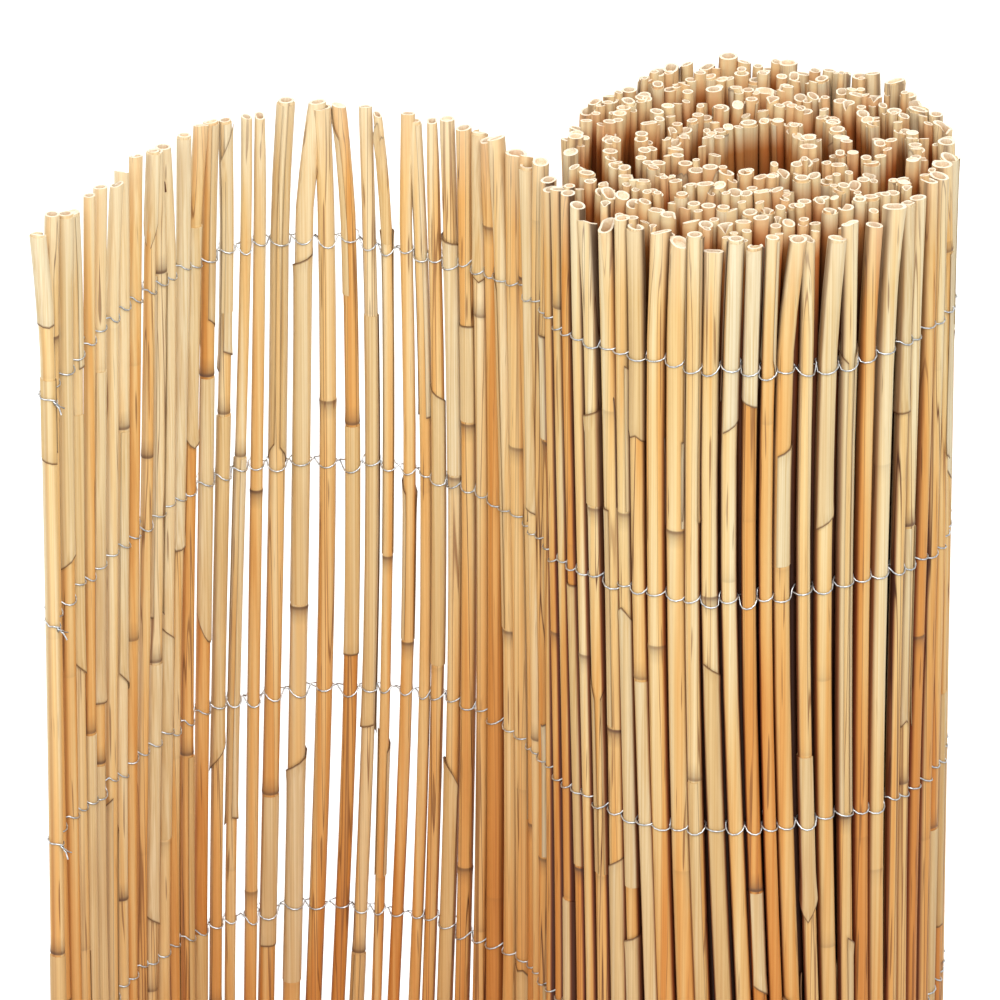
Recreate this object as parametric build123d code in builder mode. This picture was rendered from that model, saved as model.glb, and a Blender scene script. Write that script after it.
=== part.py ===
from build123d import *

import math
import os
import random
from collections import namedtuple

# Reed screening mat, stood on end and partly unrolled: an open leaf on the left, a loose roll on the right.
# Millimetres, +Z up, seen from -Y. The origin is under the middle of the mat's box, on the floor.

# Reeds
REED_LENGTH = 1000.0  # the longest cut
THIN_REED = 4.4  # diameter of the thinnest reed
THICK_REED = 7.6  # diameter of the thickest reed
CUT_STEPS = 5  # cut lengths among the reeds
CUT_DROP = 2.5  # from one cut length to the next
REED_SIDES = 8  # flats on a reed of the leaf and the outer turn
INNER_SIDES = 6  # flats on a reed of the inner turns
REED_SEED = 11

# Spacing of the reeds
NARROW_GAP = 1.0  # between neighbours in the leaf and the outer turn
WIDE_GAP = 2.8
REED_BITE = 0.3  # how far neighbours in the inner turns press into each other

# Plan line of the mat, from the free edge to the core of the roll
LEG_LENGTH = 97.0  # straight from the free edge
CROOK_RADIUS = 66.0
CROOK_TURN = 60.0
SHOULDER_RADIUS = 93.0
SHOULDER_TURN = 74.0
ROLL_RADIUS = 78.0  # the first half turn
HALF_TURN_STEP = 6.6  # each half turn is this much tighter than the one before
HALF_TURNS = 10

# Binding wires
ROW_COUNT = 10
ROW_MARGIN = 65.0  # from the ends of the longest reeds to the nearest row
WIRE_SIZE = 1.0
WIRE_CLEARANCE = 0.2  # between a wire and the faces of the reeds
OUTER_HALF_TURNS = 2  # half turns of the roll that are seen from outside and carry a wire on their face
WIRE_KINK = 20.0  # most degrees that a wire turns from one straight stretch to the next
TIED_ROW = 5  # the row where twists of wire close the gaps between the reeds
TIE_WIDTH = 2.0
TIE_HEIGHT = 3.0

Reed = namedtuple("Reed", "x y heading radius length sides")
Bend = namedtuple("Bend", "radius turn")

FACE = THICK_REED / 2  # from the plan line to the face that carries the wires
ROW_PITCH = (REED_LENGTH - 2 * ROW_MARGIN) / (ROW_COUNT - 1)
ROW_HEIGHTS = [ROW_MARGIN + row * ROW_PITCH for row in range(ROW_COUNT)]
LEAF_BENDS = [Bend(CROOK_RADIUS, -CROOK_TURN), Bend(SHOULDER_RADIUS, -SHOULDER_TURN)]
ROLL_BENDS = [Bend(ROLL_RADIUS - turn * HALF_TURN_STEP, 180.0) for turn in range(HALF_TURNS)]


def run_length(bends):
    """Length of the plan line along the bends."""
    return sum(bend.radius * math.radians(abs(bend.turn)) for bend in bends)


def pose_at(distance):
    """Place, heading and curvature of the plan line, at a distance from the free edge."""
    heading = math.radians(CROOK_TURN)
    straight = min(distance, LEG_LENGTH)
    x = straight * math.cos(heading)
    y = straight * math.sin(heading)
    left = distance - straight
    curvature = 0.0
    for bend in LEAF_BENDS + ROLL_BENDS:
        if left <= 0:
            break
        curvature = math.copysign(1 / bend.radius, bend.turn)
        turn = curvature * min(left, run_length([bend]))
        chord = 2 * math.sin(turn / 2) / curvature
        x += chord * math.cos(heading + turn / 2)
        y += chord * math.sin(heading + turn / 2)
        heading += turn
        left -= run_length([bend])
    return x, y, heading, curvature


def lay_reeds(first, last, gap_range, sides, dice):
    """Reeds side by side from one distance to another, flush on the face that carries the wires."""
    reeds = []
    distance = first
    reach = 0.0
    while True:
        radius = dice.triangular(THIN_REED, THICK_REED) / 2
        length = REED_LENGTH - CUT_DROP * dice.randrange(CUT_STEPS)
        gap = dice.uniform(*gap_range) if reeds else 0.0
        aside = FACE - radius
        curvature = pose_at(distance)[3]
        distance += (reach + gap + radius) / (1 + curvature * aside)
        if distance + radius > last:
            return reeds
        x, y, heading, curvature = pose_at(distance)
        x += aside * math.sin(heading)
        y -= aside * math.cos(heading)
        reeds.append(Reed(x, y, heading, radius, length, sides))
        reach = radius


def box_middle(reeds):
    """Middle of the box round the reeds, in plan."""
    low_x = min(reed.x - reed.radius for reed in reeds)
    high_x = max(reed.x + reed.radius for reed in reeds)
    low_y = min(reed.y - reed.radius for reed in reeds)
    high_y = max(reed.y + reed.radius for reed in reeds)
    return (low_x + high_x) / 2, (low_y + high_y) / 2


dice = random.Random(REED_SEED)
leaf_end = LEG_LENGTH + run_length(LEAF_BENDS)
outer_end = leaf_end + run_length(ROLL_BENDS[:OUTER_HALF_TURNS])
core_end = leaf_end + run_length(ROLL_BENDS)
leaf = lay_reeds(0, leaf_end - NARROW_GAP, (NARROW_GAP, WIDE_GAP), REED_SIDES, dice)
outer_turn = lay_reeds(leaf_end, outer_end - NARROW_GAP, (NARROW_GAP, WIDE_GAP), REED_SIDES, dice)
inner_turns = lay_reeds(outer_end, core_end, (-REED_BITE, -REED_BITE), INNER_SIDES, dice)
middle_x, middle_y = box_middle(leaf + outer_turn + inner_turns)


def side_point(distance, aside):
    """Point beside the plan line, on the side of the wires' face."""
    x, y, heading, curvature = pose_at(distance)
    return x + aside * math.sin(heading) - middle_x, y - aside * math.cos(heading) - middle_y


def wire_points(aside):
    """Corners of a wire at a distance from the plan line, straight from reed to reed and clear of their faces."""
    points = [side_point(0, aside)]
    start = LEG_LENGTH
    for bend in LEAF_BENDS + ROLL_BENDS[:OUTER_HALF_TURNS]:
        count = math.ceil(abs(bend.turn) / WIRE_KINK)
        step = run_length([bend]) / count
        if bend.turn < 0:
            points += [side_point(start + corner * step, aside) for corner in range(count)]
        else:
            half_kink = math.radians(bend.turn) / count / 2
            out = (bend.radius + aside) / math.cos(half_kink) - bend.radius
            points += [side_point(start + (corner + 0.5) * step, out) for corner in range(count)]
        start += run_length([bend])
    points.append(side_point(start, aside))
    return points


def draw_reeds(reeds, length):
    """Sections of the reeds of one length, in the sketch that calls it."""
    for reed in reeds:
        if reed.length == length:
            with Locations(Location((reed.x - middle_x, reed.y - middle_y), math.degrees(reed.heading))):
                RegularPolygon(reed.radius, reed.sides, False, 180 / reed.sides)


def save(builder, name):
    """Labels a finished piece and writes it."""
    builder.part.label = name
    export_step(builder.part, f"parts/{name}.step")


os.makedirs("parts", exist_ok=True)

# The open leaf: reeds with gaps between them, tied together at one row
with BuildPart() as leaf_reeds:
    for length in sorted({reed.length for reed in leaf}):
        with BuildSketch():
            draw_reeds(leaf, length)
        extrude(amount=length)
    with BuildSketch(Plane.XY.offset(ROW_HEIGHTS[-TIED_ROW] - TIE_HEIGHT / 2)):
        with BuildLine():
            Polyline(*[(reed.x - middle_x, reed.y - middle_y) for reed in leaf])
        trace(line_width=TIE_WIDTH)
    extrude(amount=TIE_HEIGHT)
save(leaf_reeds, "leaf_reeds")

# The roll: an outer turn like the leaf, tied to inner turns that are one ridged wall, wound in to the core
with BuildPart() as roll_reeds:
    for length in sorted({reed.length for reed in outer_turn + inner_turns}):
        with BuildSketch():
            draw_reeds(outer_turn + inner_turns, length)
        extrude(amount=length)
    with BuildSketch(Plane.XY.offset(ROW_HEIGHTS[-TIED_ROW] - TIE_HEIGHT / 2)):
        with BuildLine():
            Polyline(*[(reed.x - middle_x, reed.y - middle_y) for reed in outer_turn + inner_turns[:1]])
        trace(line_width=TIE_WIDTH)
    extrude(amount=TIE_HEIGHT)
save(roll_reeds, "roll_reeds")

# Binding wires, one for each row, numbered from the top
for row, height in enumerate(reversed(ROW_HEIGHTS), start=1):
    with BuildPart() as wire_row:
        with BuildSketch(Plane.XY.offset(height - WIRE_SIZE / 2)):
            with BuildLine():
                near = wire_points(FACE + WIRE_CLEARANCE)
                far = wire_points(FACE + WIRE_CLEARANCE + WIRE_SIZE)
                Polyline(*near, *reversed(far), close=True)
            make_face()
        extrude(amount=WIRE_SIZE)
    save(wire_row, f"wire_row_{row:02d}")
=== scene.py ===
import math
import random
from collections import namedtuple

import bpy
import numpy as np
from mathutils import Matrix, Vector


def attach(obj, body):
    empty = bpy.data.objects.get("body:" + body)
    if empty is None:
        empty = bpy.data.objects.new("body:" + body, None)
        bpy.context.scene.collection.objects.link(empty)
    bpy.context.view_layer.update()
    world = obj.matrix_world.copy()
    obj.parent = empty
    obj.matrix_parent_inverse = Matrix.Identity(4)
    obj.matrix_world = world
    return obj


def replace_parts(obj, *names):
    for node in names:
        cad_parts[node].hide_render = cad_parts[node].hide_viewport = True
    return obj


# Reed screening mat, stood on end and partly unrolled: hollow reeds, papery sheaths, twined binding wires.
# Metres, in the frame of the solids. The reeds stand along the same plan line as the solids do.

# Reeds and their spacing, as in the solids
REED_LENGTH = 1.0
THIN_REED = 0.0044
THICK_REED = 0.0076
CUT_STEPS = 5
CUT_DROP = 0.0025
REED_SEED = 11
NARROW_GAP = 0.001
WIDE_GAP = 0.0028
REED_BITE = 0.0003
FACE = THICK_REED / 2  # from the plan line to the face that carries the wires
MIDDLE_LINE = FACE - (THIN_REED + THICK_REED) / 4  # from the plan line to the middle of a mean reed

# Plan line of the mat, as in the solids
LEG_LENGTH = 0.097
CROOK_RADIUS = 0.066
CROOK_TURN = 60.0
SHOULDER_RADIUS = 0.093
SHOULDER_TURN = 74.0
ROLL_RADIUS = 0.078
HALF_TURN_STEP = 0.0066
HALF_TURNS = 10
OUTER_HALF_TURNS = 2  # half turns of the roll that are seen from outside

# Rows of binding wire
ROW_COUNT = 10
ROW_MARGIN = 0.065
ROW_PITCH = (REED_LENGTH - 2 * ROW_MARGIN) / (ROW_COUNT - 1)
TOP_ROW = REED_LENGTH - ROW_MARGIN

# How the reeds grow: knots, bends and cut ends
LOOK_SEED = 5
SHORT_INTERNODE = 0.11
LONG_INTERNODE = 0.30
KNOT_MARGIN = 0.03  # no knot stands nearer to an end than this
STRONG_KNOTS = 0.5  # share of the knots that are dark and swollen
STRONG_KNOT = (0.75, 1.0)  # range of their strength
FAINT_KNOT = (0.05, 0.3)  # range of the others' strength
INNER_SIGHT = 0.85  # below this height nothing shows of the inner turns
INNER_RINGS = (0.05, 0.2, 0.5)  # rings on an inner reed, down from its top
THINNING = (0.93, 1.0)  # range of a stem's thickness, as a share of its zone's
TAPER = 0.08  # most that a stem narrows or widens along its length
UPRIGHT_SHARE = 0.5  # share of the reeds that stand the way they grew
STEM_WAVES = (6, 14)  # range of a stem's slow bends, in radians for a metre
BULGE_RATE = 0.7  # rate of its bends out of the mat, against those along it
LEAN_POWER = 1.5  # how fast a free end leans above the top row
SQUASH = 0.06  # most that a stem is out of round
TONE_SHAPE = (1.8, 2.3)  # powers of the beta curve of the stems' warmth
RING_STEP = 0.045  # most height from one ring of points to the next
SWAY = 0.0065  # slow drift of neighbouring reeds along the mat
SWAY_RUN = 0.070
SWAY_RISE = 6.0
RIPPLE = 0.0010
RIPPLE_RUN = 0.021
RIPPLE_RISE = 9.1
STEADY_EDGE = 0.05  # the drift dies out this near to the free edge
ROLL_SLOPE = 0.07  # rise of the roll's cut ends from front to back
WALL_SHARE = 0.31  # wall of a reed, as a share of its radius
CUT_ZONE = 0.0045  # height below the top where the slanting cut starts
PINCH_ZONE = 0.03  # height below the top where a squeezed end starts
PINCH = (0.1, 0.3)  # range of how far it is squeezed
PINCH_SHARE = 0.35
NOTCH = (0.002, 0.006)  # range of the depth of a torn notch
NOTCH_SHARE = 0.14
NOTCH_POWER = 12  # how narrow a notch is
NOTCH_LEVEL = 0.7  # part of its depth that the rim shows
STEEPEST_CUT = 21.0
RIM_ROUND = 0.99  # radius of a cut's outer edge, as a share of the stem's
PITH_TAPER = 0.94  # radius of the pith, as a share of the rim's
LEAST_PITH = 0.0001  # least depth of the pith below the cut

# Ranges of the pith's depth and their shares: hollow, pithy, solid and empty ends
PITH_DEPTHS = [(0.004, 0.009), (0.0006, 0.0018), (0.0002, 0.0003), (0.012, 0.020)]
PITH_SHARES = [0.68, 0.16, 0.03, 0.13]

# Foot of a reed, and thin reeds between those of the roll
FOOT_HOLLOW = 0.0012
FOOT_PITH = 0.004  # depth that colours the pith at the foot
FILLER_SHARE = 0.75  # share of the places where one has slipped in
THIN_FILLER = 0.0034
THICK_FILLER = 0.0050
FILLER_SHIFT = 0.0034  # how far a thin reed stands to the side of its neighbours

# Height from a knot, swelling of the reed and strength of the knot's colour
KNOT_PROFILE = [
    (-0.0080, 1.00, 0.0),
    (-0.0040, 1.01, 0.28),
    (-0.0016, 1.045, 0.6),
    (-0.0005, 1.075, 1.0),
    (0.0001, 1.06, 1.0),
    (0.0005, 1.015, 0.12),
    (0.0020, 1.00, 0.0),
    (0.0070, 1.00, 0.0),
]

# Painted shade on the reeds' flanks, and their warmth, along the mat
FLANK_POWER = 4  # how fast the painted shade on a reed's flanks fades towards its face
CLOSE_RUN = 0.055  # the leaf's reeds turn like the roll's over this run, and stay so for as long to its end
CLOSE_SHARE = 0.3  # share of the roll's warmth and painted flank shade that they take on
VALLEY_RUN = 0.075  # run of the roll, from the leaf on, where the reeds are warmer and their painted flank shade darker still
VALLEY_WARMTH = 0.25
VALLEY_FLANK = 1.5

# Sheaths
SHEATH_LIFT = 0.0002
LIFT_SPREAD = (0.7, 1.7)  # range of a sheath's lift, as a share of the above
SHEATH_FLARE = 0.0006  # most that its free end stands off
SHEATH_CURL = 0.0003  # most that its long edges stand off
CURL_POWER = 8  # how near to these edges the curl starts
SHEATH_SKIN = 0.00016
SHEATH_ROOM = 0.00045  # how far a sheath lifts a wire off its reed
SHEATH_TURNS = [-1.0, -0.94, -0.75, -0.5, -0.25, 0.0, 0.25, 0.5, 0.75, 0.94, 1.0]  # places across a sheath
SHEATH_SHARES = [0.0, 0.04, 0.2, 0.4, 0.6, 0.8]  # rows up a sheath, as shares of its length
# Rows at a sheath's free end: distance from it, share of the flare and strength of the edge's colour, a brown
# edge that is partly a painted shadow line
SHEATH_RIM = [(0.006, 0.3, 0.0), (0.0011, 0.85, 0.12), (0.0004, 0.97, 0.95), (0.0, 1.0, 1.0)]
SHEATH_TIPS = ["straight", "oblique", "point", "round", "ragged"]
TIP_SHARES = [0.2, 0.38, 0.1, 0.16, 0.16]
SHORTEST_SHEATH = 0.03
SHEATH_REACH = (0.3, 1.0)  # range of a sheath's length, as a share of its room
SHEATH_SPARE = 0.014  # length of an internode that no sheath takes up
SHEATH_SPAN = (200, 345)  # range of degrees round the stem
SHEATH_HOLD = 0.0012  # from a knot to the held end
SHEATH_START = 0.004  # from a knot to where the length counts
STRIP_LENGTH = (0.04, 0.09)  # of a torn strip
STRIP_STOP = (0.0, 0.0015)  # range of its end's depth below the cut
STRIP_SPAN = 110
TOP_SHEATH_CHANCE = 0.5
TOP_STRIP_SHARE = 0.12  # share of the reeds with a torn strip that ends at the cut

# Twined wires
WIRE_SIZE = 0.00066
WIRE_SIDES = 6
ROW_WAVE = 0.0014  # slow rise and fall of a row
ROW_JITTER = 0.0008  # from reed to reed
EDGE_DROOP = 0.016  # rows hang lower at the mat's free edge
EDGE_RUN = 0.085
DIP = 0.0032  # most that a strand dips on the face of a reed
LEAST_DIP = 0.25  # least dip, as a share of the most
SKEW = 0.55  # most that the lowest place of a dip is off the middle of the reed
RISE = 0.0016  # how far the other strand rises behind it
CROSS_RISE = 0.0009  # how far the strands rise where they cross between two reeds
GRIP_TURN = 72.0  # how far round a reed a strand lies against it, to each side
FINE_GRIP = (-1.0, -0.6, -0.2, 0.2, 0.6, 1.0)  # points of a strand, as shares of that turn
ROUGH_GRIP = (-0.8, 0.8)  # those on the reeds of the inner turns
TAIL_LENGTH = 0.0065
TAIL_PLACE = -36.0  # degrees round the first reed from the middle of its face, where the tail stands
TAIL_TURNS = 1.5
TAIL_STEPS = 16
TAIL_SPLAY = 0.6  # share of the tail where its two ends part

# Map of a piece, with an upright strip for each tube
FOOT_LEVEL = 0.002  # height of the middle of a tube's lower end
HEAD_LEVEL = 0.998
REED_STEP = 0.0015  # least spacing of the rings of a stem or sheath
WIRE_STEP = 0.0005  # and of a wire

# Colours of stems and sheaths, from pale to warm
LEAF_STRAW = [(0.0, "E5D1A7"), (0.35, "E2C187"), (0.7, "DDAB66"), (1.0, "CE9048")]
ROLL_STRAW = [(0.0, "E1D1A9"), (0.35, "DDC088"), (0.7, "D9A964"), (1.0, "CE9048")]
LEAF_PAPER = [(0.0, "E1D0AB"), (0.5, "DDC699"), (1.0, "D8B983")]
ROLL_PAPER = [(0.0, "DACCAA"), (0.5, "D6C298"), (1.0, "D1B582")]

# Camera and studio
CAMERA_AIM = (0.0006, 0.0, 0.844)
CAMERA_ELEVATION = 24.8
CAMERA_DISTANCE = 5.0
CAMERA_LENS = 461.5
SENSOR = 36.0
CAMERA_REACH = 100
FLOOR_HALF = 30.0
WORLD_STRENGTH = 0.63

Bend = namedtuple("Bend", "radius turn")
Knot = namedtuple("Knot", "height strength")
Wrap = namedtuple("Wrap", "held free span")
Twist = namedtuple("Twist", "rise dip skew")
Zone = namedtuple("Zone", "slim sides wobble lean_along lean_aside sheaths warmth flank uneven loss")
Stem = namedtuple(
    "Stem",
    "zone distance aside radius length taper upright wobble wave phase bulge lean_along lean_aside "
    "knots flank squash squash_turn tone shade slant slant_turn pinch notch depth wraps",
)

LEAF_BENDS = [Bend(CROOK_RADIUS, -CROOK_TURN), Bend(SHOULDER_RADIUS, -SHOULDER_TURN)]
ROLL_BENDS = [Bend(ROLL_RADIUS - turn * HALF_TURN_STEP, 180.0) for turn in range(HALF_TURNS)]

# Zones: thickness against the solids', sides of a stem, wobble, two leans of a free end, share of internodes
# with a sheath, warmth, strength of the painted shade on the flanks, share of the solids' uneven cuts, range
# of what a cut takes off
LEAF = Zone(0.94, 16, 0.0012, 0.0027, 0.0014, 0.55, 0.0, 0.6, 0.35, (0.0065, 0.0095))
OUTER = Zone(1.16, 16, 0.0007, 0.0014, 0.0012, 0.6, 0.12, 1.1, 0.5, (0.0035, 0.0065))
INNER = Zone(0.9, 12, 0.0006, 0.0010, 0.0009, 0.0, 0.14, 0.9, 0.25, (0.0030, 0.0070))


def run_length(bends):
    """Length of the plan line along the bends."""
    return sum(bend.radius * math.radians(abs(bend.turn)) for bend in bends)


LEAF_END = LEG_LENGTH + run_length(LEAF_BENDS)
OUTER_END = LEAF_END + run_length(ROLL_BENDS[:OUTER_HALF_TURNS])
CORE_END = LEAF_END + run_length(ROLL_BENDS)


def pose_at(distance):
    """Place, heading and curvature of the plan line at a distance. It runs straight on past the core."""
    heading = math.radians(CROOK_TURN)
    straight = min(distance, LEG_LENGTH)
    x = straight * math.cos(heading)
    y = straight * math.sin(heading)
    left = distance - straight
    curvature = 0.0
    for bend in LEAF_BENDS + ROLL_BENDS:
        if left <= 0:
            break
        curvature = math.copysign(1 / bend.radius, bend.turn)
        turn = curvature * min(left, run_length([bend]))
        chord = 2 * math.sin(turn / 2) / curvature
        x += chord * math.cos(heading + turn / 2)
        y += chord * math.sin(heading + turn / 2)
        heading += turn
        left -= run_length([bend])
    beyond = max(0.0, left)
    return x + beyond * math.cos(heading), y + beyond * math.sin(heading), heading, curvature


def lay_reeds(first, last, gap_range, dice):
    """Distance, radius and length of reeds side by side, flush on the face that carries the wires."""
    reeds = []
    distance = first
    reach = 0.0
    while True:
        radius = dice.triangular(THIN_REED, THICK_REED) / 2
        length = REED_LENGTH - CUT_DROP * dice.randrange(CUT_STEPS)
        gap = dice.uniform(*gap_range) if reeds else 0.0
        curvature = pose_at(distance)[3]
        distance += (reach + gap + radius) / (1 + curvature * (FACE - radius))
        if distance + radius > last:
            return reeds
        reeds.append((distance, radius, length))
        reach = radius


def plan_point(distance, aside):
    """Point beside the plan line, on the side of the wires' face, before centring."""
    x, y, heading, curvature = pose_at(distance)
    return x + aside * math.sin(heading), y - aside * math.cos(heading)


def box_middle(reeds):
    """Middle of the box round the reeds, in plan."""
    spots = [(*plan_point(distance, FACE - radius), radius) for distance, radius, length in reeds]
    low_x = min(x - radius for x, y, radius in spots)
    high_x = max(x + radius for x, y, radius in spots)
    low_y = min(y - radius for x, y, radius in spots)
    high_y = max(y + radius for x, y, radius in spots)
    return (low_x + high_x) / 2, (low_y + high_y) / 2


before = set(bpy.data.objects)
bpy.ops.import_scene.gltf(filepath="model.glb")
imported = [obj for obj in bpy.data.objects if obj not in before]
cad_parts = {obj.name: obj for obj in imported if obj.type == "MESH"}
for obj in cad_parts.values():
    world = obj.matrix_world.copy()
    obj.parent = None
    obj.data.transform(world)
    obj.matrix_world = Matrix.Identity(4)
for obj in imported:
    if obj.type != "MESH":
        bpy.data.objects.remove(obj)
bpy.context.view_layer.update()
layout_dice = random.Random(REED_SEED)
leaf_reeds = lay_reeds(0, LEAF_END - NARROW_GAP, (NARROW_GAP, WIDE_GAP), layout_dice)
outer_reeds = lay_reeds(LEAF_END, OUTER_END - NARROW_GAP, (NARROW_GAP, WIDE_GAP), layout_dice)
inner_reeds = lay_reeds(OUTER_END, CORE_END, (-REED_BITE, -REED_BITE), layout_dice)
middle_x, middle_y = box_middle(leaf_reeds + outer_reeds + inner_reeds)


def side_point(distance, aside):
    """Point beside the plan line, in the frame of the solids."""
    x, y = plan_point(distance, aside)
    return x - middle_x, y - middle_y


def ring_of(centre, radii, angles, heights):
    """Ring of points round a centre in plan."""
    ring = np.empty((len(angles), 3))
    ring[:, 0] = centre[0] + radii * np.cos(angles)
    ring[:, 1] = centre[1] + radii * np.sin(angles)
    ring[:, 2] = heights
    return ring


def look_of(tone, mark, shade, sides):
    """Looks of a ring of points."""
    look = np.empty((len(sides), 4))
    for channel, value in enumerate((tone, mark, shade, sides)):
        look[:, channel] = value
    return look


# Stems

def place_knots(length, dice):
    """Knots of a stem, an internode apart, some of them strong and the others faint."""
    knots = []
    height = dice.uniform(KNOT_MARGIN, LONG_INTERNODE)
    while height < length - KNOT_MARGIN:
        strength = dice.uniform(*(STRONG_KNOT if dice.random() < STRONG_KNOTS else FAINT_KNOT))
        knots.append(Knot(height, strength))
        height += dice.uniform(SHORT_INTERNODE, LONG_INTERNODE)
    return knots


def cut_length(zone, distance, length, dice):
    """Length of a stem: near its solid's, and less towards the front of the roll."""
    slope = 0.0 if zone is LEAF else ROLL_SLOPE
    drop = (REED_LENGTH - length) * zone.uneven + dice.uniform(*zone.loss)
    return min(REED_LENGTH, REED_LENGTH - drop + slope * side_point(distance, 0)[1])


def slip_in(reeds, sides, dice):
    """Thin reeds between neighbours, each to one of the sides: distance, radius, length and side."""
    fillers = []
    for before, after in zip(reeds[:-1], reeds[1:]):
        if dice.random() < FILLER_SHARE:
            radius = dice.uniform(THIN_FILLER, THICK_FILLER) / 2
            length = REED_LENGTH - CUT_DROP * dice.randrange(CUT_STEPS)
            fillers.append(((before[0] + after[0]) / 2, radius, length, dice.choice(sides)))
    return fillers


def find_wraps(stem, dice):
    """Held end, free end and span of each sheath on a stem. All of them grow the way that the stem grew."""
    wraps = []
    stops = [0.0] + [knot.height for knot in stem.knots] + [stem.length]
    for low, high in zip(stops[:-1], stops[1:]):
        reach = (high - low - SHEATH_SPARE) * dice.uniform(*SHEATH_REACH)
        span = dice.uniform(*SHEATH_SPAN)
        chance = TOP_SHEATH_CHANCE if high == stem.length else stem.zone.sheaths
        if dice.random() > chance or reach < SHORTEST_SHEATH:
            continue
        if stem.upright:
            wraps.append(Wrap(low + SHEATH_HOLD, low + SHEATH_START + reach, span))
        else:
            wraps.append(Wrap(high - SHEATH_HOLD, high - SHEATH_START - reach, span))
    if dice.random() < TOP_STRIP_SHARE:
        held = stem.length - dice.uniform(*STRIP_LENGTH)
        wraps.append(Wrap(held, stem.length - dice.uniform(*STRIP_STOP), STRIP_SPAN))
    return wraps


def closeness(zone, distance):
    """How much a stem of the leaf is like the roll's: 0 along most of the leaf, 1 at its end."""
    if zone is not LEAF:
        return 0.0
    return min(1.0, max(0.0, 2 - (LEAF_END - distance) / CLOSE_RUN))


def shading(zone, distance):
    """Warmth of a stem and strength of the painted shade on its flanks: more at the leaf's end, and most
    where the roll starts.
    """
    if zone is LEAF:
        close = closeness(zone, distance) * CLOSE_SHARE
        warmth = zone.warmth + (OUTER.warmth - zone.warmth) * close
        return warmth, zone.flank + (OUTER.flank - zone.flank) * close
    valley = max(0.0, 1 - (distance - LEAF_END) / VALLEY_RUN)
    return zone.warmth + VALLEY_WARMTH * valley, zone.flank + VALLEY_FLANK * valley


def grow(zone, dice, distance, radius, length, side=0):
    """A stem with its own bends, knots, colour and cut end."""
    warmth, flank = shading(zone, distance)
    slim = zone.slim + (OUTER.slim - zone.slim) * closeness(zone, distance) ** 2
    low, high = dice.choices(PITH_DEPTHS, PITH_SHARES)[0]
    stem = Stem(
        zone=zone,
        distance=distance,
        aside=MIDDLE_LINE + side * FILLER_SHIFT if side else FACE - radius,
        radius=radius * slim * dice.uniform(*THINNING),
        length=cut_length(zone, distance, length, dice),
        taper=dice.uniform(-TAPER, TAPER),
        upright=dice.random() < UPRIGHT_SHARE,
        wobble=dice.uniform(-1, 1) * zone.wobble,
        wave=dice.uniform(*STEM_WAVES),
        phase=dice.uniform(0, math.tau),
        bulge=dice.uniform(-1, 1) * zone.wobble,
        lean_along=dice.gauss(0, zone.lean_along),
        lean_aside=dice.gauss(0, zone.lean_aside),
        knots=place_knots(length, dice),
        flank=flank,
        squash=dice.uniform(0, SQUASH),
        squash_turn=dice.uniform(0, math.tau),
        tone=dice.betavariate(*TONE_SHAPE) + warmth,
        shade=dice.random(),
        slant=math.tan(math.radians(STEEPEST_CUT)) * dice.random() ** 2,
        slant_turn=dice.uniform(0, math.tau),
        pinch=dice.uniform(*PINCH) if dice.random() < PINCH_SHARE else 0.0,
        notch=dice.uniform(*NOTCH) if dice.random() < NOTCH_SHARE else 0.0,
        depth=dice.uniform(low, high),
        wraps=[],
    )
    return stem._replace(wraps=find_wraps(stem, dice))


def sway(distance, height):
    """Drift along the mat that neighbouring reeds share."""
    slow = SWAY * math.sin(distance / SWAY_RUN + height * SWAY_RISE)
    quick = RIPPLE * math.sin(distance / RIPPLE_RUN - height * RIPPLE_RISE)
    return (slow + quick) * min(1.0, max(0.0, distance / STEADY_EDGE))


def stem_spot(stem, height):
    """Distance and offset from the plan line of a stem's centre at a height."""
    free = max(0.0, (height - TOP_ROW) / ROW_MARGIN) ** LEAN_POWER
    swing = math.sin(height * stem.wave + stem.phase)
    swell = math.cos(height * stem.wave * BULGE_RATE + stem.phase)
    along = stem.distance + sway(stem.distance, height) + stem.wobble * swing + stem.lean_along * free
    return along, stem.aside + stem.bulge * swell + stem.lean_aside * free


def stem_profile(stem):
    """Rows of height, swelling and knot colour along a stem's outer wall, from the bottom up."""
    top = stem.length - CUT_ZONE
    rows = [(0.0, 1.0, 0.0), (top, 1.0, 0.0)]
    sense = 1 if stem.upright else -1
    for height, strength in stem.knots:
        if stem.zone is INNER and height < INNER_SIGHT:
            continue
        for rise, swelling, colour in KNOT_PROFILE:
            rows.append((height + sense * rise, 1 + (swelling - 1) * strength, colour * strength))
    if stem.zone is not INNER:
        rows.sort()
        for low, high in zip(rows[:-1], rows[1:]):
            count = int((high[0] - low[0]) / RING_STEP)
            rows += [(low[0] + (high[0] - low[0]) * (k + 1) / (count + 1), 1.0, 0.0) for k in range(count)]
    else:
        rows += [(stem.length - drop, 1.0, 0.0) for drop in INNER_RINGS]
    rows += [(stem.length - PINCH_ZONE, 1.0, 0.0), (stem.length - PINCH_ZONE / 2, 1.0, 0.0)]
    return sorted(row for row in rows if row[0] <= top)


def stem_girth(stem, angles, height):
    """Radius of a stem at a height, for each angle: a little out of round, squeezed at some cut ends."""
    squeeze = min(1.0, max(0.0, 1 - (stem.length - height) / PINCH_ZONE))
    oval = stem.squash + stem.pinch * squeeze * squeeze
    thickness = stem.radius * (1 + stem.taper * (height / REED_LENGTH - 0.5))
    return thickness * (1 + oval * np.cos(2 * (angles - stem.squash_turn)))


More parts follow.
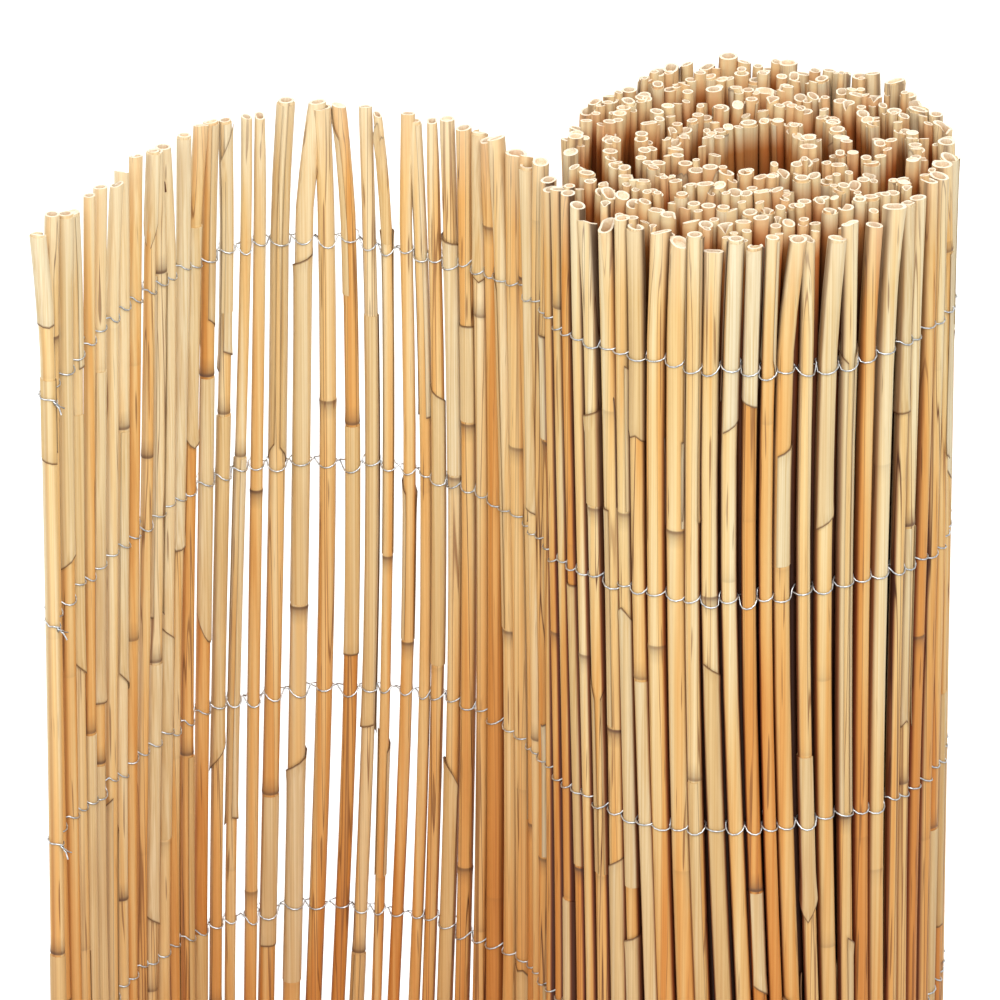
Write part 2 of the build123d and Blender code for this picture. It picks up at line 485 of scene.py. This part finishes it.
def stem_rings(stem):
    """Rings of points up a stem, over its cut rim and down to its pith, with their looks and depths."""
    angles = np.arange(stem.zone.sides) * math.tau / stem.zone.sides
    heading = pose_at(stem.distance)[2]
    # Strength of the painted shade on the flanks, where neighbouring reeds shade each other
    sides = stem.flank * np.abs(np.cos(angles - heading)) ** FLANK_POWER
    rings = []
    looks = []
    depths = []

    def add_ring(height, share, heights, knot, depth):
        centre = side_point(*stem_spot(stem, height))
        girth = stem_girth(stem, angles, height) * share
        rings.append(ring_of(centre, girth, angles, heights))
        looks.append(look_of(stem.tone, knot, stem.shade, sides))
        depths.append(np.full(len(angles), depth))

    rim = 1 - WALL_SHARE
    add_ring(0.0, rim, FOOT_HOLLOW, 0.0, FOOT_PITH)
    add_ring(0.0, rim, 0.0, 0.0, 0.0)
    add_ring(0.0, RIM_ROUND, 0.0, 0.0, 0.0)
    for height, swelling, knot in stem_profile(stem):
        add_ring(height, swelling, height, knot, stem.length - height)
    drop = stem.slant * stem.radius * (1 - np.cos(angles - stem.slant_turn))
    drop = np.minimum(drop, CUT_ZONE * 0.9)
    torn = np.maximum(0.0, np.cos(angles - stem.squash_turn * 2)) ** NOTCH_POWER
    drop = np.maximum(drop, stem.notch * torn * NOTCH_LEVEL)
    cut = stem.length - drop
    add_ring(stem.length, RIM_ROUND, cut, 0.0, 0.0)
    add_ring(stem.length, rim, cut, 0.0, 0.0)
    pith = np.minimum(cut - LEAST_PITH, stem.length - stem.depth - drop / 2)
    add_ring(stem.length, rim * PITH_TAPER, pith, 0.0, stem.depth)
    return np.array(rings), np.array(looks), np.array(depths)


# Surfaces

def column_of(strip, index, count):
    """Edges on the map of one of several faces across a strip."""
    left, right = strip
    return left + (right - left) * index / count, left + (right - left) * (index + 1) / count


class Skin:
    """Surface of one piece, gathered tube by tube."""

    def __init__(self):
        self.points = []
        self.faces = []
        self.slots = []
        self.places = []
        self.looks = []
        self.depths = []
        self.count = 0

    def add_points(self, points, looks, depths):
        """Adds points and returns the number of the first."""
        first = self.count
        self.points.append(points)
        self.looks.append(looks)
        self.depths.append(depths)
        self.count += len(points)
        return first

    def add_tube(self, rings, looks, depths, levels, strip, row_slots):
        """Closed rings joined one above the other. The strip is the tube's share of the map's width."""
        rows, sides = rings.shape[:2]
        first = self.add_points(rings.reshape(-1, 3), looks.reshape(-1, 4), depths.reshape(-1))
        for row in range(rows - 1):
            low = first + row * sides
            high = low + sides
            level = levels[row]
            next_level = levels[row + 1]
            for side in range(sides):
                after = (side + 1) % sides
                self.faces.append((low + side, low + after, high + after, high + side))
                near, far = column_of(strip, side, sides)
                self.places += [near, level, far, level, far, next_level, near, next_level]
            self.slots += [row_slots[row]] * sides
        return first

    def add_fan(self, ring_first, sides, centre, look, depth, level, tip_level, strip, slot):
        """Closes a ring with a fan of triangles."""
        middle = self.add_points(centre.reshape(1, 3), look.reshape(1, 4), np.array([depth]))
        for side in range(sides):
            after = (side + 1) % sides
            near, far = column_of(strip, side, sides)
            tip = (near + far) / 2
            if tip_level > level:
                self.faces.append((ring_first + side, ring_first + after, middle))
                self.places += [near, level, far, level, tip, tip_level]
            else:
                self.faces.append((ring_first + after, ring_first + side, middle))
                self.places += [far, level, near, level, tip, tip_level]
        self.slots += [slot] * sides

    def add_strip(self, ring_first, columns, level, tip_level, strip, slot):
        """Closes the end of a folded shell, whose ring runs out along one face and back along the other."""
        for column in range(columns - 1):
            outer = (ring_first + column, ring_first + column + 1)
            inner = (ring_first + 2 * columns - 1 - column, ring_first + 2 * columns - 2 - column)
            near, far = column_of(strip, column, columns)
            if tip_level > level:
                self.faces.append((outer[0], outer[1], inner[1], inner[0]))
                self.places += [near, level, far, level, far, tip_level, near, tip_level]
            else:
                self.faces.append((inner[0], inner[1], outer[1], outer[0]))
                self.places += [near, tip_level, far, tip_level, far, level, near, level]
        self.slots += [slot] * (columns - 1)

    def build(self, name, materials, edge_angle=None):
        """Makes the piece, which rides on the mat's one body."""
        mesh = bpy.data.meshes.new(name)
        mesh.from_pydata(np.concatenate(self.points).tolist(), [], self.faces)
        mesh.polygons.foreach_set("material_index", self.slots)
        mesh.polygons.foreach_set("use_smooth", [True] * len(self.faces))
        mesh.uv_layers.new(name="OFBake").data.foreach_set("uv", self.places)
        looks = mesh.attributes.new("look", "FLOAT_COLOR", "POINT")
        looks.data.foreach_set("color", np.concatenate(self.looks).ravel())
        depths = mesh.attributes.new("depth", "FLOAT", "POINT")
        depths.data.foreach_set("value", np.concatenate(self.depths))
        for material in materials:
            mesh.materials.append(material)
        mesh.update()
        if edge_angle:
            mesh.set_sharp_from_angle(angle=math.radians(edge_angle))
        piece = bpy.data.objects.new(name, mesh)
        bpy.context.scene.collection.objects.link(piece)
        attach(piece, "root")
        return piece


def spread_levels(rings, least):
    """Heights on the map for the rings of a tube, by their spacing, each at least a little apart."""
    steps = np.linalg.norm(np.diff(rings.mean(axis=1), axis=0), axis=1)
    steps += np.abs(np.diff(np.ptp(rings[:, :, 0], axis=1)))
    steps = np.maximum(steps, least)
    levels = np.concatenate([[0.0], np.cumsum(steps)])
    return 0.01 + 0.98 * levels / levels[-1]


def strip_of(index, count):
    """Share of the map's width for one of several tubes."""
    return (index + 0.04) / count, (index + 0.96) / count


SKIN_SLOT = 0
CUT_SLOT = 1


def build_stems(name, stems, materials):
    """One piece with all the stems of a zone."""
    skin = Skin()
    for index, stem in enumerate(stems):
        rings, looks, depths = stem_rings(stem)
        levels = spread_levels(rings, REED_STEP)
        strip = strip_of(index, len(stems))
        wall_rows = len(rings) - 5
        row_slots = [CUT_SLOT, CUT_SLOT] + [SKIN_SLOT] * wall_rows + [CUT_SLOT, CUT_SLOT]
        first = skin.add_tube(rings, looks, depths, levels, strip, row_slots)
        sides = stem.zone.sides
        last = first + (len(rings) - 1) * sides
        foot = rings[0].mean(axis=0)
        pith = rings[-1].mean(axis=0)
        skin.add_fan(first, sides, foot, looks[0, 0], FOOT_PITH, levels[0], FOOT_LEVEL, strip, CUT_SLOT)
        skin.add_fan(last, sides, pith, looks[-1, 0], stem.depth, levels[-1], HEAD_LEVEL, strip, CUT_SLOT)
    return skin.build(name, materials, edge_angle=42)


# Sheaths

def tip_shape(kind, turns, dice):
    """How far a sheath's end stands back at each place across it, from about 0 to 1."""
    if kind == "straight":
        return 0.04 * np.sin(turns * dice.uniform(4, 9))
    if kind == "oblique":
        return 0.5 + 0.5 * turns * dice.choice([-1, 1])
    if kind == "point":
        return np.abs(turns - dice.uniform(-0.3, 0.3))
    if kind == "round":
        return turns ** 2
    ragged = np.array([dice.random() for turn in turns])
    return 0.6 * ragged + 0.4 * np.abs(turns)


def add_sheath(skin, stem, wrap, strip, dice):
    """A papery skin round part of a stem, from the end that is held to the free end."""
    kind = dice.choices(SHEATH_TIPS, TIP_SHARES)[0]
    opening = dice.uniform(0, math.tau)
    back = dice.uniform(0.004, 0.016) if kind != "straight" else 0.002
    flare = dice.uniform(0.0, SHEATH_FLARE)
    curl = dice.uniform(0.0, SHEATH_CURL)
    lift = SHEATH_LIFT * dice.uniform(*LIFT_SPREAD)
    tone = dice.random()
    shade = dice.random()
    turns = np.array(SHEATH_TURNS)
    angles = opening + turns * math.radians(wrap.span) / 2
    sense = 1 if wrap.free > wrap.held else -1
    free = wrap.free - sense * back * tip_shape(kind, turns, dice)
    rows = [(wrap.held + (free - wrap.held) * share, 0.0, 0.0) for share in SHEATH_SHARES]
    rows += [(free - sense * inset, flared, edge) for inset, flared, edge in SHEATH_RIM]
    fold = np.concatenate([angles, angles[::-1]])
    # Strength of the painted shade on the flanks, where neighbouring reeds shade each other
    sides = stem.flank * np.abs(np.cos(fold - pose_at(stem.distance)[2])) ** FLANK_POWER
    # The long edges take the same dark edge colour: a brown edge, partly a painted shadow line
    seam = np.where(np.abs(turns) == 1, 0.65, 0.0)
    bend = np.abs(turns) ** CURL_POWER
    rings = []
    looks = []
    for heights, flared, edge in rows:
        centre = side_point(*stem_spot(stem, heights.mean()))
        girth = stem_girth(stem, angles, heights.mean())
        proud = lift + flare * flared + curl * bend
        gap = proud * np.maximum(flared, bend)
        radii = np.concatenate([girth + proud + SHEATH_SKIN, (girth + gap - SHEATH_SKIN * 0.3)[::-1]])
        rings.append(ring_of(centre, radii, fold, np.concatenate([heights, heights[::-1]])))
        looks.append(look_of(tone, np.maximum(edge, np.concatenate([seam, seam])), shade, sides))
    if sense < 0:
        rings.reverse()
        looks.reverse()
    rings = np.array(rings)
    looks = np.array(looks)
    depths = stem.length - rings[:, :, 2]
    levels = spread_levels(rings, REED_STEP)
    first = skin.add_tube(rings, looks, depths, levels, strip, [SKIN_SLOT] * (len(rings) - 1))
    last = first + (len(rings) - 1) * len(fold)
    skin.add_strip(first, len(turns), levels[0], FOOT_LEVEL, strip, SKIN_SLOT)
    skin.add_strip(last, len(turns), levels[-1], HEAD_LEVEL, strip, SKIN_SLOT)


def build_sheaths(name, stems, materials, dice):
    """One piece with the sheaths of a zone."""
    wraps = [(stem, wrap) for stem in stems for wrap in stem.wraps]
    skin = Skin()
    for index, (stem, wrap) in enumerate(wraps):
        add_sheath(skin, stem, wrap, strip_of(index, len(wraps)), dice)
    return skin.build(name, materials, edge_angle=50)


# Wires

def row_height(row, distance):
    """Height of a row of wire at a distance from the free edge."""
    height = ROW_MARGIN + row * ROW_PITCH
    slow = math.sin(distance * 23 + row * 2.1)
    quick = math.sin(distance * 61 + row * 4.7)
    droop = max(0.0, 1 - distance / EDGE_RUN) ** 2
    return height + ROW_WAVE * (slow + 0.6 * quick) - EDGE_DROOP * droop


def twist_row(stems, dice):
    """How the strands lie at each reed of a row."""
    twists = []
    for stem in stems:
        rise = dice.gauss(0, ROW_JITTER)
        dip = DIP * dice.uniform(LEAST_DIP, 1.0)
        twists.append(Twist(rise, dip, dice.uniform(-SKEW, SKEW)))
    return twists


def round_reed(stem, height, turn):
    """Point where a strand lies against a reed, some degrees round it from the middle of its face."""
    along, aside = stem_spot(stem, height)
    covered = any(min(wrap.held, wrap.free) < height < max(wrap.held, wrap.free) for wrap in stem.wraps)
    reach = stem.radius + WIRE_SIZE * 0.62 + (SHEATH_ROOM if covered else 0.0)
    angle = math.radians(turn)
    return side_point(along + reach * math.sin(angle), aside + reach * math.cos(angle))


def strand_points(row, stems, twists, strand):
    """Points of one of the two strands of a row: in front of every other reed, and behind those between."""
    points = []
    for index, (stem, twist) in enumerate(zip(stems, twists)):
        height = row_height(row, stem.distance) + twist.rise
        front = (index + strand) % 2 == 0
        fine = stem.zone is not INNER
        bow = -twist.dip if front else RISE
        for step in FINE_GRIP if fine else ROUGH_GRIP:
            turn = step * GRIP_TURN
            bend = 1 - ((step - twist.skew) / (1 + abs(twist.skew))) ** 2
            x, y = round_reed(stem, height, turn if front else 180 - turn)
            points.append((x, y, height + bow * bend))
        if index + 1 < len(stems) and fine:
            neighbour = stems[index + 1]
            next_height = row_height(row, neighbour.distance) + twists[index + 1].rise
            along, aside = stem_spot(stem, height)
            next_along, next_aside = stem_spot(neighbour, next_height)
            x, y = side_point((along + next_along) / 2, (aside + next_aside) / 2)
            above = WIRE_SIZE * (0.5 if front else -0.5)
            points.append((x, y, (height + next_height) / 2 + CROSS_RISE + above))
    return points


def tail_points(stem, height, swing, strand):
    """Points of one strand of the twisted tail on the face of the first reed, from its tip to its root."""
    heading = pose_at(stem.distance)[2]
    outward = Vector((math.sin(heading), -math.cos(heading), 0))
    onward = Vector((math.cos(heading), math.sin(heading), 0))
    down = Vector((0, 0, -1))
    out = (outward * 0.4 + onward * (0.3 + 0.4 * swing) + down * 0.8).normalized()
    aside = out.cross(down).normalized()
    upward = aside.cross(out)
    root = Vector((*round_reed(stem, height, TAIL_PLACE), height)) + outward * WIRE_SIZE
    points = []
    for step in range(TAIL_STEPS):
        share = 1 - step / TAIL_STEPS
        turn = TAIL_TURNS * math.tau * min(share, TAIL_SPLAY) + strand * math.pi
        splay = WIRE_SIZE * (0.55 + 6 * max(0.0, share - TAIL_SPLAY))
        centre = root + out * TAIL_LENGTH * share
        points.append(tuple(centre + aside * math.cos(turn) * splay + upward * math.sin(turn) * splay))
    return points


def edge_points(row, stems, twists, strand, swing):
    """Points of one strand from the tip of its tail, past the first reed and along the row."""
    height = row_height(row, stems[0].distance) + twists[0].rise
    tail = tail_points(stems[0], height, swing, strand)
    run = strand_points(row, stems, twists, strand)
    if strand == 0:
        return tail + run[2:]
    wrap = [(*round_reed(stems[0], height, turn), height) for turn in (-55, -82)]
    return tail + wrap + run


def tube_rings(points, sides):
    """Rings of points round a run of wire."""
    path = np.array(points)
    heads = np.gradient(path, axis=0)
    heads /= np.linalg.norm(heads, axis=1)[:, None]
    aside = np.cross(heads, (0.0, 0.0, 1.0))
    aside /= np.linalg.norm(aside, axis=1)[:, None]
    upward = np.cross(aside, heads)
    angles = np.arange(sides) * math.tau / sides
    across = aside[:, None, :] * np.cos(angles)[None, :, None]
    spread = across + upward[:, None, :] * np.sin(angles)[None, :, None]
    return path[:, None, :] - spread * WIRE_SIZE / 2


def build_wire(row, stems, material, dice):
    """One row of wire: two strands that cross between the reeds, with a twisted tail at the free edge."""
    skin = Skin()
    twists = twist_row(stems, dice)
    swing = dice.uniform(-1, 1)
    for strand in range(2):
        rings = tube_rings(edge_points(row, stems, twists, strand, swing), WIRE_SIDES)
        looks = np.full((*rings.shape[:2], 4), 0.5)
        # Side channel: painted shade, stronger the lower a point lies on the wire's ring
        looks[:, :, 3] -= (rings - rings.mean(axis=1, keepdims=True))[:, :, 2] / WIRE_SIZE
        depths = np.zeros(rings.shape[:2])
        levels = spread_levels(rings, WIRE_STEP)
        strip = strip_of(strand, 2)
        first = skin.add_tube(rings, looks, depths, levels, strip, [SKIN_SLOT] * (len(rings) - 1))
        for ring, tip_level in ((0, FOOT_LEVEL), (len(rings) - 1, HEAD_LEVEL)):
            ring_first = first + ring * WIRE_SIDES
            middle = rings[ring].mean(axis=0)
            end = (levels[ring], tip_level, strip, SKIN_SLOT)
            skin.add_fan(ring_first, WIRE_SIDES, middle, looks[0, 0], 0.0, *end)
    number = ROW_COUNT - row
    piece = skin.build(f"twined_wire_{number:02d}", [material])
    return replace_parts(piece, f"wire_row_{number:02d}")


# Materials

def tint(code):
    """Linear colour from a hexadecimal screen colour."""
    shares = [int(code[start:start + 2], 16) / 255 for start in (0, 2, 4)]
    linear = [share / 12.92 if share <= 0.04045 else ((share + 0.055) / 1.055) ** 2.4 for share in shares]
    return (*linear, 1.0)


class Graph:
    """Node tree of a new material, with short calls for the nodes used here."""

    def __init__(self, name):
        self.material = bpy.data.materials.new(name)
        self.material.use_nodes = True
        self.tree = self.material.node_tree
        self.shader = self.tree.nodes["Principled BSDF"]

    def add(self, kind):
        return self.tree.nodes.new(kind)

    def link(self, source, target):
        self.tree.links.new(source, target)

    def look(self):
        """Tone, mark, shade and side of the surface, as painted on its points; shade is a random number for
        each stem or sheath, side the strength of the painted shade on flanks and lower sides.
        """
        node = self.add("ShaderNodeAttribute")
        node.attribute_name = "look"
        parts = self.add("ShaderNodeSeparateColor")
        self.link(node.outputs["Color"], parts.inputs["Color"])
        return (*[parts.outputs[channel] for channel in ("Red", "Green", "Blue")], node.outputs["Alpha"])

    def height(self):
        """Height above the floor."""
        parts = self.add("ShaderNodeSeparateXYZ")
        self.link(self.add("ShaderNodeTexCoord").outputs["Object"], parts.inputs["Vector"])
        return parts.outputs["Z"]

    def depth(self):
        node = self.add("ShaderNodeAttribute")
        node.attribute_name = "depth"
        return node.outputs["Fac"]

    def noise(self, scale, detail):
        """Noise in the frame of the solids, stretched by a scale along each axis."""
        place = self.add("ShaderNodeTexCoord").outputs["Object"]
        mapping = self.add("ShaderNodeMapping")
        mapping.inputs["Scale"].default_value = scale
        self.link(place, mapping.inputs["Vector"])
        node = self.add("ShaderNodeTexNoise")
        node.inputs["Scale"].default_value = 1.0
        node.inputs["Detail"].default_value = detail
        self.link(mapping.outputs["Vector"], node.inputs["Vector"])
        return node.outputs["Fac"]

    def math(self, operation, first, second=0.0):
        node = self.add("ShaderNodeMath")
        node.operation = operation
        for value, socket in zip((first, second), node.inputs):
            if isinstance(value, (int, float)):
                socket.default_value = value
            else:
                self.link(value, socket)
        return node.outputs["Value"]

    def span(self, value, low, high, new_low=0.0, new_high=1.0):
        """Maps a range of values on to another, clamped."""
        node = self.add("ShaderNodeMapRange")
        self.link(value, node.inputs["Value"])
        node.inputs["From Min"].default_value = low
        node.inputs["From Max"].default_value = high
        node.inputs["To Min"].default_value = new_low
        node.inputs["To Max"].default_value = new_high
        return node.outputs["Result"]

    def ramp(self, value, stops):
        """Colour ramp through hexadecimal colours at given places."""
        node = self.add("ShaderNodeValToRGB")
        elements = node.color_ramp.elements
        while len(elements) < len(stops):
            elements.new(0.5)
        for element, (place, code) in zip(elements, stops):
            element.position = place
            element.color = tint(code)
        self.link(value, node.inputs["Fac"])
        return node.outputs["Color"]

    def mix(self, share, first, second, blend="MIX"):
        """Mixes two colours, each a socket or a hexadecimal colour."""
        node = self.add("ShaderNodeMix")
        node.data_type = "RGBA"
        node.blend_type = blend
        self.link(share, node.inputs[0])
        for value, socket in ((first, node.inputs[6]), (second, node.inputs[7])):
            if isinstance(value, str):
                socket.default_value = tint(value)
            else:
                self.link(value, socket)
        return node.outputs[2]

    def bump(self, height, strength, distance):
        node = self.add("ShaderNodeBump")
        node.inputs["Strength"].default_value = strength
        node.inputs["Distance"].default_value = distance
        self.link(height, node.inputs["Height"])
        self.link(node.outputs["Normal"], self.shader.inputs["Normal"])

    def finish(self, colour, roughness):
        self.link(colour, self.shader.inputs["Base Color"])
        if isinstance(roughness, (int, float)):
            self.shader.inputs["Roughness"].default_value = roughness
        else:
            self.link(roughness, self.shader.inputs["Roughness"])
        return self.material


def grade_along_reed(graph, colour, height, depth):
    """Paler near the cut ends, darker and warmer towards the foot."""
    colour = graph.mix(graph.span(depth, 0.0, 0.03, 0.36, 0.0), colour, "E9DABA")
    return graph.mix(graph.span(height, 0.58, 0.86, 0.6, 0.0), colour, "D8AC78", "MULTIPLY")


def paint_flank_shade(graph, colour, side, depth):
    """Painted shade, brown where neighbouring reeds shade each other, less so near the cut ends, darkest
    beside the leaf.
    """
    fade = graph.span(depth, 0.0, 0.16, 0.35, 1.0)
    share = graph.math("MULTIPLY", graph.span(side, 0.38, 0.85, 0.0, 0.92), fade)
    colour = graph.mix(share, colour, "944E1E", "MULTIPLY")
    return graph.mix(graph.span(side, 0.75, 1.3, 0.0, 0.8), colour, "3A1806")


def paint_depth_shade(graph, colour, depth):
    """Painted shade: orange, brown and then near black down between the inner turns, where little light
    comes.
    """
    colour = graph.mix(graph.span(depth, 0.002, 0.011, 0.0, 0.9), colour, "D69250", "MULTIPLY")
    colour = graph.mix(graph.span(depth, 0.006, 0.040, 0.0, 0.9), colour, "52240B")
    return graph.mix(graph.span(depth, 0.04, 0.14, 0.0, 0.85), colour, "240E03")


def make_stem_material(name, straw, shaded):
    """Satin skin of a dry reed: straw to orange, with fibres, seams, splits, cracks and brown knots, painted
    shade on its flanks, and when shaded painted shade down between the inner turns.
    """
    graph = Graph(name)
    tone, knot, shade, side = graph.look()
    height = graph.height()
    depth = graph.depth()
    streaks = graph.noise((400, 400, 3.0), 0.0)
    patches = graph.noise((60, 60, 9), 1.0)
    warmth = graph.math("ADD", tone, graph.span(streaks, 0.3, 0.7, -0.22, 0.22))
    warmth = graph.math("ADD", warmth, graph.span(patches, 0.3, 0.7, -0.18, 0.18))
    warmth = graph.math("ADD", warmth, graph.span(height, 0.60, 0.97, 0.24, 0.0 if shaded else -0.2))
    colour = graph.ramp(warmth, straw)
    if not shaded:
        colour = add_fibres(graph, colour, streaks, shade)
    knot_noise = graph.math("MULTIPLY", knot, graph.span(patches, 0.25, 0.6, 0.7, 1.0))
    colour = graph.mix(knot_noise, colour, "6A4C36")
    colour = grade_along_reed(graph, colour, height, depth)
    # Painted shade on the flanks
    colour = paint_flank_shade(graph, colour, side, depth)
    if shaded:
        # Painted shade down between the inner turns
        colour = paint_depth_shade(graph, colour, depth)
    graph.shader.inputs["Specular IOR Level"].default_value = 0.28
    return graph.finish(colour, graph.span(streaks, 0.3, 0.7, 0.48, 0.65))


def add_fibres(graph, colour, streaks, shade):
    """Fine lines along a reed, with seams on about half of the reeds, splits on a few and small cracks."""
    fibres = graph.noise((1500, 1500, 9), 1.0)
    cracks = graph.noise((800, 800, 26), 0.0)
    colour = graph.mix(graph.span(fibres, 0.35, 0.7, 0.0, 0.4), colour, "E0BE84", "MULTIPLY")
    off_seam = graph.math("ABSOLUTE", graph.math("SUBTRACT", streaks, 0.5))
    seamed = graph.span(shade, 0.4, 0.55)
    seam = graph.math("MULTIPLY", graph.span(off_seam, 0.008, 0.034, 0.75, 0.0), seamed)
    colour = graph.mix(seam, colour, "80502A")
    parted = graph.span(shade, 0.86, 0.88)
    split = graph.math("MULTIPLY", graph.span(off_seam, 0.003, 0.014, 0.9, 0.0), parted)
    colour = graph.mix(split, colour, "5A3418")
    graph.bump(fibres, 0.35, 0.0002)
    return graph.mix(graph.span(cracks, 0.74, 0.79, 0.0, 0.7), colour, "7A4C26")


def make_sheath_material(name, paper, shaded):
    """Papery sheath: pale straw with fine lines, greyish streaks and a brown edge that is partly a painted
    shadow line, with painted shade on its flanks, and when shaded painted shade down between the inner turns.
    """
    graph = Graph(name)
    tone, edge, _, side = graph.look()
    height = graph.height()
    depth = graph.depth()
    fibres = graph.noise((1700, 1700, 7), 1.0)
    streaks = graph.noise((520, 520, 4), 0.0)
    patches = graph.noise((90, 90, 12), 1.0)
    warmth = graph.math("ADD", tone, graph.span(streaks, 0.3, 0.7, -0.3, 0.3))
    warmth = graph.math("ADD", warmth, graph.span(height, 0.60, 0.97, 0.2, -0.1))
    colour = graph.ramp(warmth, paper)
    colour = graph.mix(graph.span(fibres, 0.4, 0.7, 0.0, 0.5), colour, "DCC08C", "MULTIPLY")
    colour = graph.mix(graph.span(patches, 0.56, 0.75, 0.0, 0.35), colour, "BA9260")
    # Brown edge, partly a painted shadow line, along the free end and the long edges
    colour = graph.mix(graph.math("MULTIPLY", edge, 0.9), colour, "684424")
    colour = grade_along_reed(graph, colour, height, depth)
    # Painted shade on the flanks, and when shaded painted shade down between the inner turns
    colour = paint_flank_shade(graph, colour, side, depth)
    if shaded:
        colour = paint_depth_shade(graph, colour, depth)
    else:
        graph.bump(fibres, 0.45, 0.0002)
    graph.shader.inputs["Specular IOR Level"].default_value = 0.28
    return graph.finish(colour, graph.span(streaks, 0.3, 0.7, 0.5, 0.68))


def make_cut_material():
    """Cut end of a reed: cream rim, tan pith, and darker with depth, partly pith colour and partly painted
    shade, brown in the deepest holes.
    """
    graph = Graph("reed_cut")
    grain = graph.noise((1600, 1600, 900), 2.0)
    patches = graph.noise((300, 300, 120), 1.0)
    deepness = graph.span(graph.depth(), 0.0, 0.014)
    # Colour by depth below the cut: cream rim, tan pith, then painted shade down to brown in the deepest
    # holes
    colour = graph.ramp(deepness, [(0.0, "EBE0CA"), (0.15, "E2CBA8"), (0.5, "C8986A"), (1.0, "5E3417")])
    colour = graph.mix(graph.span(grain, 0.4, 0.7, 0.0, 0.4), colour, "E3C49A", "MULTIPLY")
    colour = graph.mix(graph.span(patches, 0.5, 0.75, 0.0, 0.4), colour, "D6A272")
    graph.bump(grain, 0.4, 0.0002)
    return graph.finish(colour, 0.7)


def make_wire_material():
    """Galvanised steel wire: bright zinc with duller patches, and painted shade on its lower side."""
    graph = Graph("galvanised_wire")
    spangle = graph.noise((900, 900, 900), 2.0)
    underside = graph.look()[3]
    colour = graph.ramp(spangle, [(0.35, "B4B8BC"), (0.65, "EEF0F1")])
    # Painted shade on the lower side of the wire
    colour = graph.mix(graph.span(underside, 0.45, 0.9), colour, "4C4F53")
    graph.shader.inputs["Metallic"].default_value = 0.9
    return graph.finish(colour, graph.span(spangle, 0.3, 0.7, 0.28, 0.46))


# The mat

look_dice = random.Random(LOOK_SEED)
leaf_stems = [grow(LEAF, look_dice, *reed) for reed in leaf_reeds]
outer_stems = [grow(OUTER, look_dice, *reed) for reed in outer_reeds]
inner_stems = [grow(INNER, look_dice, *reed) for reed in inner_reeds]
fillers = slip_in(outer_reeds, [-1], look_dice) + slip_in(inner_reeds, [-1, 1], look_dice)
filler_stems = [grow(INNER, look_dice, *filler) for filler in fillers]
leaf_skin = make_stem_material("leaf_reed_skin", LEAF_STRAW, False)
outer_skin = make_stem_material("outer_reed_skin", ROLL_STRAW, False)
# The inner turns' skin carries painted shade down between the turns
inner_skin = make_stem_material("inner_reed_skin", ROLL_STRAW, True)
cut_material = make_cut_material()
leaf_paper = make_sheath_material("leaf_sheath_paper", LEAF_PAPER, False)
outer_paper = make_sheath_material("outer_sheath_paper", ROLL_PAPER, False)
# The inner turns' paper carries painted shade down between the turns
inner_paper = make_sheath_material("inner_sheath_paper", ROLL_PAPER, True)
wire_material = make_wire_material()
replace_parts(build_stems("leaf_stems", leaf_stems, [leaf_skin, cut_material]), "leaf_reeds")
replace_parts(build_stems("outer_stems", outer_stems, [outer_skin, cut_material]), "roll_reeds")
inside = inner_stems + filler_stems
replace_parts(build_stems("inner_stems", inside, [inner_skin, cut_material]), "roll_reeds")
build_sheaths("leaf_sheaths", leaf_stems, [leaf_paper], look_dice)
build_sheaths("outer_sheaths", outer_stems, [outer_paper], look_dice)
build_sheaths("inner_sheaths", inner_stems, [inner_paper], look_dice)
for row in range(ROW_COUNT):
    build_wire(row, leaf_stems + outer_stems + inner_stems, wire_material, look_dice)


# Studio

def add_floor():
    """Wide pale floor."""
    mesh = bpy.data.meshes.new("floor")
    half = FLOOR_HALF
    corners = [(-half, -half, 0), (half, -half, 0), (half, half, 0), (-half, half, 0)]
    mesh.from_pydata(corners, [], [(0, 1, 2, 3)])
    graph = Graph("pale_floor")
    grain = graph.noise((30, 30, 30), 0.0)
    mesh.materials.append(graph.finish(graph.ramp(grain, [(0.3, "F4F4F3"), (0.7, "F7F7F6")]), 0.8))
    floor = bpy.data.objects.new("floor", mesh)
    bpy.context.scene.collection.objects.link(floor)


def add_light(name, place, aim, size, power):
    """Large soft light, turned to a point."""
    lamp = bpy.data.lights.new(name, "AREA")
    lamp.size = size
    lamp.energy = power
    light = bpy.data.objects.new(name, lamp)
    light.visible_camera = False
    light.location = place
    light.rotation_euler = (Vector(aim) - Vector(place)).to_track_quat("-Z", "Y").to_euler()
    bpy.context.scene.collection.objects.link(light)


def add_world(strength):
    """Even white surroundings."""
    world = bpy.data.worlds.new("studio")
    world.use_nodes = True
    background = world.node_tree.nodes["Background"]
    background.inputs["Color"].default_value = (1, 1, 1, 1)
    background.inputs["Strength"].default_value = strength
    bpy.context.scene.world = world


def add_camera():
    """Camera in front of the mat, looking down on its upper part."""
    data = bpy.data.cameras.new("camera")
    data.sensor_width = SENSOR
    data.lens = CAMERA_LENS
    data.clip_end = CAMERA_REACH
    camera = bpy.data.objects.new("camera", data)
    tilt = math.radians(CAMERA_ELEVATION)
    back = Vector((0, -math.cos(tilt), math.sin(tilt)))
    camera.location = Vector(CAMERA_AIM) + back * CAMERA_DISTANCE
    camera.rotation_euler = (-back).to_track_quat("-Z", "Y").to_euler()
    bpy.context.scene.collection.objects.link(camera)
    bpy.context.scene.camera = camera


add_floor()
add_light("key", (0.65, -2.4, 3.3), (0, 0, 0.8), 2.2, 88)
add_light("fill", (-2.2, -1.8, 2.4), (0, 0, 0.75), 2.0, 29)
add_light("backdrop", (0, 2.6, 3.0), (0, 2.2, 0), 2.5, 90)
add_world(WORLD_STRENGTH)
add_camera()
bpy.context.scene.view_settings.view_transform = "Standard"
